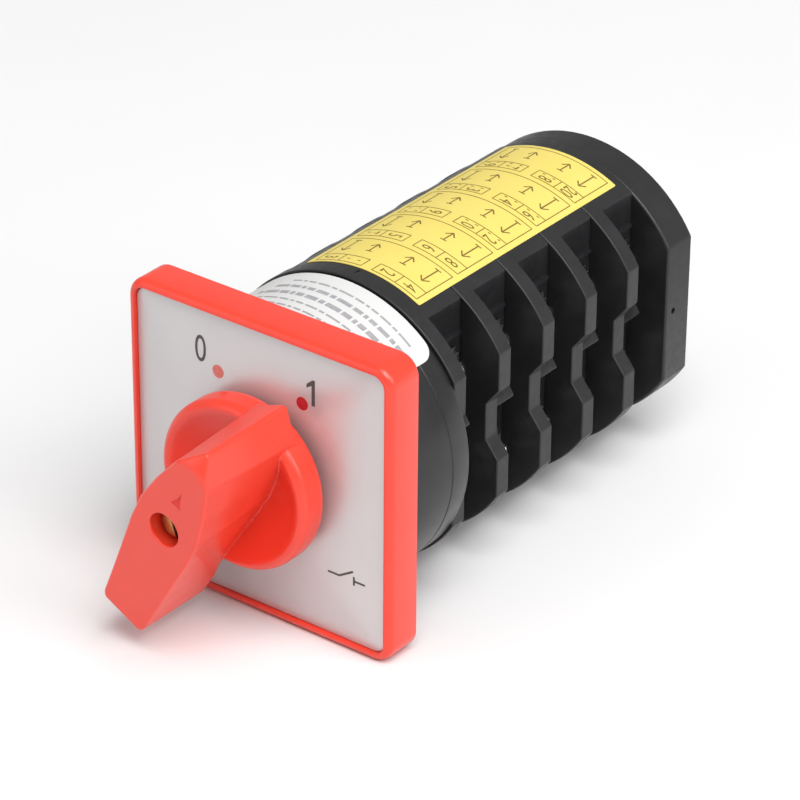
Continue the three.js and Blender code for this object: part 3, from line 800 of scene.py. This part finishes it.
def make_drum():
    e = 0.3
    r, back = DRUM_R, STACK_FRONT - 0.05
    groove = 12.7
    profile = [(SHAFT_HOLE_R, 0.15), (r - e, 0.15), (r - 0.3 * e, 0.15 + 0.3 * e), (r, 0.15 + e)]
    profile += [(r, groove - 0.3), (r - 0.12, groove - 0.1), (r - 0.12, groove + 0.1), (r, groove + 0.3)]
    profile += [(r, back - e), (r - 0.3 * e, back - 0.3 * e), (r - e, back)]
    profile += [(11.3, back), (11.3, 5.2), (SHAFT_HOLE_R, 5.2)]
    made = turned("drum", profile, 240)
    cutters = [box("pocket", (-3.35, 3.35), (6.2, back + 1), (-21.3, 21.3))]
    for side in (-1, 1):
        cutters.append(prism("bolt", circle(BOLT_HOLE_R, 24, 0, side * BOLT_Z), -1, 19))
        cutters.append(prism("nut", circle(3.15, 6, 0, side * BOLT_Z), -1, 2.9))
        cutters.append(prism("screw", circle(2.05, 24, side * MOUNT_SCREW_X, 0), -1, 10))
    return combine(made, cutters, "DIFFERENCE")


def film_band(name, r, thick, start, end, y0, y1, corner):
    """A film wrapped on a cylinder, from one angle to another, with rounded corners."""
    s0, s1 = math.radians(start) * r, math.radians(end) * r
    rows = 40
    t = np.linspace(0, 1, rows + 1)
    s = s0 + (s1 - s0) * (0.5 - 0.5 * np.cos(np.pi * t))
    into_corner = np.maximum(corner - np.minimum(s - s0, s1 - s), 0)
    pull = corner - np.sqrt(np.maximum(corner**2 - into_corner**2, 0))
    points = np.vstack((np.column_stack((s, y0 + pull)), np.column_stack((s, y1 - pull))))
    n = rows + 1
    faces = [(i, i + 1, n + i + 1, n + i) for i in range(rows)]
    return printed(name, [(points, faces)], wrapped(r), 0.0, thick)


def label_bars():
    """Rows of plain bars where such a label has its small print."""
    rows = ((3.3, -15, 18, 0.5), (5.5, -14, 16, 0.5), (8.2, -13, 19, 1.2))
    rows += ((11.0, -11, 20, 1.0), (13.6, -9, 18, 0.5))
    lengths = (1.6, 2.6, 1.1, 3.2, 2.0, 0.8)
    bars = []
    for row, (y, first, last, width) in enumerate(rows):
        s, k = float(first), row
        while s < last:
            length = lengths[k % len(lengths)]
            bars.append(strip_shape((s, y), (s + length, y), width, 3))
            s += length + 0.5
            k += 1
    return bars


def wrapped(r):
    """Places (arc length from the top, y, height) on a cylinder of radius r."""

    def place(a, b, h):
        angle = a / r
        return ((r + h) * math.sin(angle), b, (r + h) * math.cos(angle))

    return place


def disc_outline():
    edge = math.degrees(math.asin(FLAT_X / DISC_R))
    right = np.array([(FLAT_X, 7.3), (21.6, 3.7), (21.6, -3.7), (FLAT_X, -7.3)])
    top = arc(DISC_R, -edge, edge, 96)
    return np.vstack((top, right, arc(DISC_R, 180 - edge, 180 + edge, 96), -right))


def core_outline(half):
    edge = math.degrees(math.asin(half / DISC_R))
    return np.vstack((arc(DISC_R, -edge, edge, 54), arc(DISC_R, 180 - edge, 180 + edge, 54)))


def contact_block():
    """One layer: disc, core, and at each side the hooked stub and the ribs between the bays."""
    front = STACK_FRONT + FIT
    back = STACK_FRONT + PITCH - FIT
    disc_back = STACK_FRONT + DISC_THICK
    wall = 15.6
    disc = soften(prism("contact_blocks", disc_outline(), front, disc_back), 0.28)
    core = soften(prism("core", core_outline(wall), front + 1.5, back), 0.22)
    hook = [(14, 5.2), (18.6, 5.2), (20.3, 3.7), (21.5, 1.8), (21.3, 1.4), (20.4, 1.3)]
    hook = np.array(hook + [(17.6, 2.2), (17.2, -3.4), (14, -5.2)])
    parts = [core]
    for side in (1, -1):
        parts.append(soften(prism("stub", hook * (side, 1), front + 1.4, disc_back + 5.3), 0.2, 2))
        for up in (1, -1):
            rib_z = sorted((up * 17.2, up * 18.0))
            parts.append(box("rib", (side * 15.0, side * 16.6), (disc_back - 1, back - 1.2), rib_z))
    combine(disc, parts, "UNION")
    cutters = [
        prism("shaft", circle(SHAFT_HOLE_R, 40), front - 1, back + 1),
        prism("cam", circle(9.8, 64), disc_back, back + 1),
    ]
    for up in (1, -1):
        cutters.append(prism("bolt", circle(BOLT_HOLE_R, 24, 0, up * BOLT_Z), front - 1, back + 1))
        cutters.append(box("chamber", (-14.2, 14.2), (disc_back, back + 1), (up * 8.6, up * 20.4)))
        cutters.append(box("slot", (-16.8, 16.8), (STACK_FRONT + 5.85, back + 1), (up * 11.05, up * 12.55)))
    return combine(disc, cutters, "DIFFERENCE")


def terminal(side, up):
    """A fixed terminal: inner leg with its contact tip, plate, washer and slotted clamp screw."""
    y0 = STACK_FRONT + DISC_THICK + 0.35
    width = 6.6
    middle = y0 + width / 2
    cam_y = STACK_FRONT + 8.5

    def xs(a, b):
        return (side * a, side * b)

    def zs(a, b):
        return (up * a, up * b)

    plate = soften(box("plate", xs(15.75, 16.95), (y0, y0 + width), zs(7.4, 15.6)), 0.2, 2)
    leg = soften(box("leg", xs(9.2, 16.5), (cam_y - 2.5, cam_y + 2), zs(11.2, 12.4)), 0.15, 2)
    tip = soften(box("tip", xs(9.2, 12.4), (cam_y - 1.6, cam_y + 1.6), zs(11.8, 13.15)), 0.2, 2)
    washer = soften(box("washer", xs(16.9, 17.65), (y0 + 0.1, y0 + width - 0.1), zs(8.3, 14.7)), 0.22, 2)
    head = slotted_head("head", 3.0, 2.0, 0.0, 1.0, slot=1.0, turn=35 * up * side + 10, segments=56)
    turn = Matrix.Rotation(math.radians(90 * side), 4, "Z")
    head.data.transform(Matrix.Translation(Vector((side * 19.65, middle, up * 11.5)) * MM) @ turn)
    return joined("terminal", [plate, leg, tip, washer, head])


def cap_outline(r, flat):
    edge = math.degrees(math.asin(flat / r))
    return np.vstack((arc(r, -edge, edge, 96), arc(r, 180 - edge, 180 + edge, 96)))


def make_cap():
    made = prism("end_cap_shell", cap_outline(CAP_R, FLAT_X), CAP_FRONT - FIT, CAP_BACK)
    soften(made, 0.55, 4)
    cutters = [
        prism("shaft", circle(SHAFT_HOLE_R, 40), CAP_FRONT - 1, CAP_FRONT + 3.9),
        soften(prism("recess", circle(15, 96), CAP_BACK - 1.2, CAP_BACK + 1), 0.2, 2),
    ]
    for up in (1, -1):
        cutters.append(prism("bolt", circle(BOLT_HOLE_R, 24, 0, up * BOLT_Z), CAP_FRONT - 1, CAP_BACK + 1))
        cutters.append(prism("pocket", circle(2.95, 48, 0, up * BOLT_Z), CAP_BACK - 3.25, CAP_BACK + 1))
        pin = prism("pin", circle(0.6, 24), -3, 3)
        pin.data.transform(Matrix.Rotation(math.radians(90), 4, "Z"))
        pin.data.transform(Matrix.Translation(Vector((up * FLAT_X, CAP_FRONT + 2.3, 0.2)) * MM))
        cutters.append(pin)
    return combine(made, cutters, "DIFFERENCE")


def chart_shapes():
    """The terminal chart: a frame, four numbered cells and their arrows for each layer."""
    line = 0.2
    left, right = CHART_S - CHART_HALF, CHART_S + CHART_HALF
    shapes = []
    for i in range(LAYERS):
        y0 = CHART_FRONT + i * CHART_PITCH
        y1, cell = y0 + 10.8, y0 + 2.9
        shapes.append(strip_shape((left, y1), (right, y1), line, 40))
        for side in (-1, 1):
            near, far = CHART_S + side * 1.25, CHART_S + side * CHART_HALF
            middle = (near + far) / 2
            shapes += [strip_shape((near, y), (far, y), line, 20) for y in (y0, cell)]
            shapes += [strip_shape((s, y0), (s, cell), line) for s in (near, middle)]
            shapes.append(strip_shape((far, y0), (far, y1), line))
            inner, outer = (4 * i + 1, 4 * i + 3) if side < 0 else (4 * i + 2, 4 * i + 4)
            for number, s in ((inner, (near + middle) / 2), (outer, (middle + far) / 2)):
                shapes.append(moved(text_shape(str(number), 3.0, 0.62), s, (y0 + cell) / 2, -90))
            shapes += arrow((near + middle) / 2, y0 + 7.4, 3.2, 1)
            shapes += arrow((middle + far) / 2, y0 + 7.2, 5.0, -1)
    return shapes


def arrow(s, y, length, way):
    """An arrow of three lines, and a short bar across its foot."""
    end = length / 2
    lines = [((0, -end), (0, end)), ((-0.7, -end), (0.7, -end))]
    lines += [((side * 1.05, end - 1.2), (0, end)) for side in (-1, 1)]
    return [moved(strip_shape(a, b, 0.3), s, y, 0 if way > 0 else 180) for a, b in lines]


# ---------------------------------------------------------------- settings


class SwitchColours(bpy.types.PropertyGroup):
    red: bpy.props.FloatVectorProperty(
        name="Red",
        description="Colour of the bezel and the handle",
        subtype="COLOR",
        default=(0.84, 0.048, 0.022),
        min=0,
        max=1,
    )
    black: bpy.props.FloatVectorProperty(
        name="Black",
        description="Colour of the drum and the layers",
        subtype="COLOR",
        default=(0.0095, 0.0095, 0.0105),
        min=0,
        max=1,
    )
    dial: bpy.props.FloatVectorProperty(
        name="Dial",
        description="Colour of the dial plate",
        subtype="COLOR",
        default=(0.62, 0.615, 0.62),
        min=0,
        max=1,
    )
    chart: bpy.props.FloatVectorProperty(
        name="Chart",
        description="Colour of the terminal chart",
        subtype="COLOR",
        default=(0.74, 0.60, 0.145),
        min=0,
        max=1,
    )


class StudioSizes(bpy.types.PropertyGroup):
    azimuth: bpy.props.FloatProperty(
        name="Azimuth",
        description="Camera's turn to the right of the front",
        default=math.radians(37.259),
        unit="ROTATION",
    )
    elevation: bpy.props.FloatProperty(
        name="Elevation",
        description="Camera's angle above the horizon",
        default=math.radians(29.343),
        unit="ROTATION",
    )
    roll: bpy.props.FloatProperty(
        name="Roll",
        description="Camera's turn about its own line of sight",
        default=math.radians(0.455),
        unit="ROTATION",
    )
    distance: bpy.props.FloatProperty(
        name="Distance",
        description="From the camera to its target",
        default=0.7674,
        unit="LENGTH",
    )
    lens: bpy.props.FloatProperty(
        name="Lens",
        description="Focal length in millimetres",
        default=182.99,
        unit="CAMERA",
    )
    target: bpy.props.FloatVectorProperty(
        name="Target",
        description="Point that the camera looks at",
        default=(-0.004646, 0.04, -0.008237),
        subtype="TRANSLATION",
    )


# ---------------------------------------------------------------- operators


class SWITCH_OT_finishes(bpy.types.Operator):
    """Makes the materials"""

    bl_idname = "cam_switch.finishes"
    bl_label = "Finishes"

    def execute(self, context):
        make_finishes(context.scene.cam_switch_colours)
        return {"FINISHED"}


class SWITCH_OT_bezel(bpy.types.Operator):
    """Makes the bezel with its rounded rim"""

    bl_idname = "cam_switch.bezel"
    bl_label = "Bezel"

    def execute(self, context):
        finish_piece(make_bezel(), BODY, FINISHES["red"], ["bezel_frame"], crease=38)
        return {"FINISHED"}


class SWITCH_OT_dial(bpy.types.Operator):
    """Makes the dial plate and its print"""

    bl_idname = "cam_switch.dial"
    bl_label = "Dial"

    def execute(self, context):
        finish_piece(make_plate(), BODY, FINISHES["dial"], ["dial_plate"], crease=38)
        figures = [moved(text_shape("0", 5.4, 0.74), -13.5, 20.2), moved(figure_one(5.2), 12.2, 19.8)]
        figures += contact_symbol()
        for name, shapes, finish in (
            ("dial_figures", figures, "dark_ink"),
            ("dial_dot_off", [moved(disc_shape(1.3), -9.5, 16.8)], "faded_ink"),
            ("dial_dot_on", [moved(disc_shape(1.3), 9.7, 16.9)], "red_ink"),
        ):
            made = printed(name, shapes, on_plate, INK_LIFT, INK)
            finish_piece(made, BODY, FINISHES[finish])
        return {"FINISHED"}


class SWITCH_OT_handle(bpy.types.Operator):
    """Makes the lever handle and its screw"""

    bl_idname = "cam_switch.handle"
    bl_label = "Handle"

    def execute(self, context):
        finish_piece(make_handle(), ROTOR, FINISHES["red"], ["handle"])
        # the mark plate's dark red is painted shade of its recess
        finish_piece(pointer_mark(), ROTOR, FINISHES["mark_ink"])
        head = slotted_head("handle_screw_head", 2.9, 4.1, -WEB_HIGH_W - 0.15 - 4.1, 1.0, slot=0.8, turn=70)
        shank = prism("shank", circle(1.5, 32), -27.3, -16)
        made = joined("handle_screw_head", [head, shank])
        finish_piece(made, ROTOR, FINISHES["brass"], ["handle_screw"], crease=30)
        return {"FINISHED"}


class SWITCH_OT_drum(bpy.types.Operator):
    """Makes the drum and the white label on it"""

    bl_idname = "cam_switch.drum"
    bl_label = "Drum"

    def execute(self, context):
        finish_piece(make_drum(), BODY, FINISHES["gloss"], ["mechanism_housing"], crease=30)
        on_drum = DRUM_R + FILM_LIFT
        made = film_band("white_film", on_drum, FILM, -46.2, 46.2, 1.2, 17.3, corner=3.0)
        finish_piece(made, BODY, FINISHES["white"], ["rating_label"], crease=40)
        made = printed("white_film_bars", label_bars(), wrapped(on_drum + FILM), INK_LIFT, INK)
        finish_piece(made, BODY, FINISHES["grey_ink"])
        return {"FINISHED"}


class SWITCH_OT_layers(bpy.types.Operator):
    """Makes the five contact layers with their terminals"""

    bl_idname = "cam_switch.layers"
    bl_label = "Contact layers"

    def execute(self, context):
        blocks = stacked(contact_block(), LAYERS, PITCH, FINISHES["black"])
        names = [f"contact_block_{i + 1}" for i in range(LAYERS)]
        finish_piece(blocks, BODY, FINISHES["black"], names)
        four = joined("terminals", [terminal(side, up) for side in (-1, 1) for up in (1, -1)])
        terminals = stacked(four, LAYERS, PITCH, FINISHES["zinc"])
        names = [f"terminal_{i + 1:02d}" for i in range(4 * LAYERS)]
        finish_piece(terminals, BODY, FINISHES["zinc"], names, crease=30)
        return {"FINISHED"}


class SWITCH_OT_chart(bpy.types.Operator):
    """Makes the yellow terminal chart"""

    bl_idname = "cam_switch.chart"
    bl_label = "Terminal chart"

    def execute(self, context):
        on_discs = DISC_R + FILM_LIFT
        made = film_band("yellow_film", on_discs, FILM, -26.0, 27.6, *CHART_SPAN, corner=0.3)
        finish_piece(made, BODY, FINISHES["yellow"], ["terminal_label"], crease=40)
        print_place = wrapped(on_discs + FILM)
        made = printed("yellow_film_print", chart_shapes(), print_place, INK_LIFT, INK)
        finish_piece(made, BODY, FINISHES["chart_ink"])
        return {"FINISHED"}


class SWITCH_OT_end_cap(bpy.types.Operator):
    """Makes the end cap, the bolts and their nuts"""

    bl_idname = "cam_switch.end_cap"
    bl_label = "End cap and bolts"

    def execute(self, context):
        finish_piece(make_cap(), BODY, FINISHES["black"], ["end_cap"])
        for place, up in (("upper", 1), ("lower", -1)):
            head = slotted_head("head", 2.8, 2.6, CAP_BACK - 0.5, -1.0, 0, up * BOLT_Z, turn=25 * up)
            shank = prism("shank", circle(BOLT_R, 24, 0, up * BOLT_Z), 1, CAP_BACK - 3.0)
            made = joined(f"bolt_{place}", [head, shank])
            finish_piece(made, BODY, FINISHES["zinc"], [f"tie_bolt_{place}"], crease=30)
        return {"FINISHED"}


class SWITCH_OT_inner_parts(bpy.types.Operator):
    """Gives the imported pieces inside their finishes"""

    bl_idname = "cam_switch.inner_parts"
    bl_label = "Inner parts"

    def execute(self, context):
        kinds = {"zinc_steel": "zinc", "shaft_steel": "steel", "brass": "brass", "ivory_plastic": "ivory"}
        slots = {s["node"]: s["material_slot"] for s in frame["record"]["subparts"]}
        for name, node in frame["nodes"].items():
            if node.hide_render:
                continue
            for place in range(len(node.data.materials)):
                node.material_slots[place].material = FINISHES[kinds[slots[name]]]
        return {"FINISHED"}


class SWITCH_OT_stage(bpy.types.Operator):
    """Makes the floor, the lights and the camera"""

    bl_idname = "cam_switch.stage"
    bl_label = "Stage"

    def execute(self, context):
        scene = context.scene
        sizes = scene.cam_switch_studio
        scene.view_settings.view_transform = "Standard"
        floor_z = CAD_BOX[0].z / MM - 0.05
        corners = [(x, y, floor_z) for x, y in rectangle(-2500, 2500, -2500, 2500)]
        floor = mesh_object("floor", corners, [(0, 1, 2, 3)])
        pale = Finish("pale floor", Specular_IOR_Level=0.2, Roughness=0.8)
        pale.tint(pale.range(pale.noise(60, 2), 0, 1), (0.77, 0.77, 0.77), (0.76, 0.76, 0.76))
        floor.data.materials.append(pale.material)
        world = bpy.data.worlds.new("studio")
        world.use_nodes = True
        world.node_tree.nodes["Background"].inputs["Color"].default_value = (1, 1, 1, 1)
        world.node_tree.nodes["Background"].inputs["Strength"].default_value = 0.45
        scene.world = world
        middle = (CAD_BOX[0] + CAD_BOX[1]) / 2
        for name, azimuth, elevation, distance, size, power in (
            ("key", 60, 62, 1.6, 1.1, 26.0),
            ("side", 100, 30, 1.6, 0.9, 8.0),
            ("fill", -30, 25, 1.6, 1.0, 3.0),
        ):
            light = bpy.data.lights.new(name, "AREA")
            light.shape, light.size, light.energy = "SQUARE", size, power
            made = bpy.data.objects.new(name, light)
            scene.collection.objects.link(made)
            a, e = math.radians(azimuth), math.radians(elevation)
            back = Vector((math.sin(a) * math.cos(e), -math.cos(a) * math.cos(e), math.sin(e)))
            made.location = middle + distance * back
            made.rotation_mode = "QUATERNION"
            made.rotation_quaternion = back.to_track_quat("Z", "Y")
        camera = bpy.data.cameras.new("camera")
        camera.sensor_width, camera.lens = 36.0, sizes.lens
        camera.clip_start, camera.clip_end = 0.01, 20.0
        made = bpy.data.objects.new("camera", camera)
        scene.collection.objects.link(made)
        a, e, roll = sizes.azimuth, sizes.elevation, sizes.roll
        back = Vector((math.sin(a) * math.cos(e), -math.cos(a) * math.cos(e), math.sin(e)))
        right = (-back).cross(Vector((0, 0, 1))).normalized()
        up = right.cross(-back)
        turned_right = math.cos(roll) * right + math.sin(roll) * up
        turned_up = -math.sin(roll) * right + math.cos(roll) * up
        matrix = Matrix((turned_right, turned_up, back)).transposed().to_4x4()
        matrix.translation = Vector(sizes.target) + sizes.distance * back
        made.matrix_world = matrix
        scene.camera = made
        return {"FINISHED"}


class SWITCH_PT_panel(bpy.types.Panel):
    """Lists the steps that build the switch"""

    bl_idname = "SWITCH_PT_panel"
    bl_label = "Cam switch"
    bl_space_type = "VIEW_3D"
    bl_region_type = "UI"
    bl_category = "Cam switch"

    def draw(self, context):
        colours = context.scene.cam_switch_colours
        for key in ("red", "black", "dial", "chart"):
            self.layout.prop(colours, key)
        for step in STEPS:
            self.layout.operator(step.bl_idname)


STEPS = (
    SWITCH_OT_finishes,
    SWITCH_OT_bezel,
    SWITCH_OT_dial,
    SWITCH_OT_handle,
    SWITCH_OT_drum,
    SWITCH_OT_layers,
    SWITCH_OT_chart,
    SWITCH_OT_end_cap,
    SWITCH_OT_inner_parts,
    SWITCH_OT_stage,
)
CLASSES = (SwitchColours, StudioSizes, *STEPS, SWITCH_PT_panel)


def register():
    for kind in CLASSES:
        bpy.utils.register_class(kind)
    bpy.types.Scene.cam_switch_colours = bpy.props.PointerProperty(type=SwitchColours)
    bpy.types.Scene.cam_switch_studio = bpy.props.PointerProperty(type=StudioSizes)


def unregister():
    del bpy.types.Scene.cam_switch_studio
    del bpy.types.Scene.cam_switch_colours
    for kind in reversed(CLASSES):
        bpy.utils.unregister_class(kind)


def main():
    register()
    bpy.ops.cam_switch.finishes()
    bpy.ops.cam_switch.bezel()
    bpy.ops.cam_switch.dial()
    bpy.ops.cam_switch.handle()
    bpy.ops.cam_switch.drum()
    bpy.ops.cam_switch.layers()
    bpy.ops.cam_switch.chart()
    bpy.ops.cam_switch.end_cap()
    bpy.ops.cam_switch.inner_parts()
    bpy.ops.cam_switch.stage()


if __name__ == "__main__":
    main()
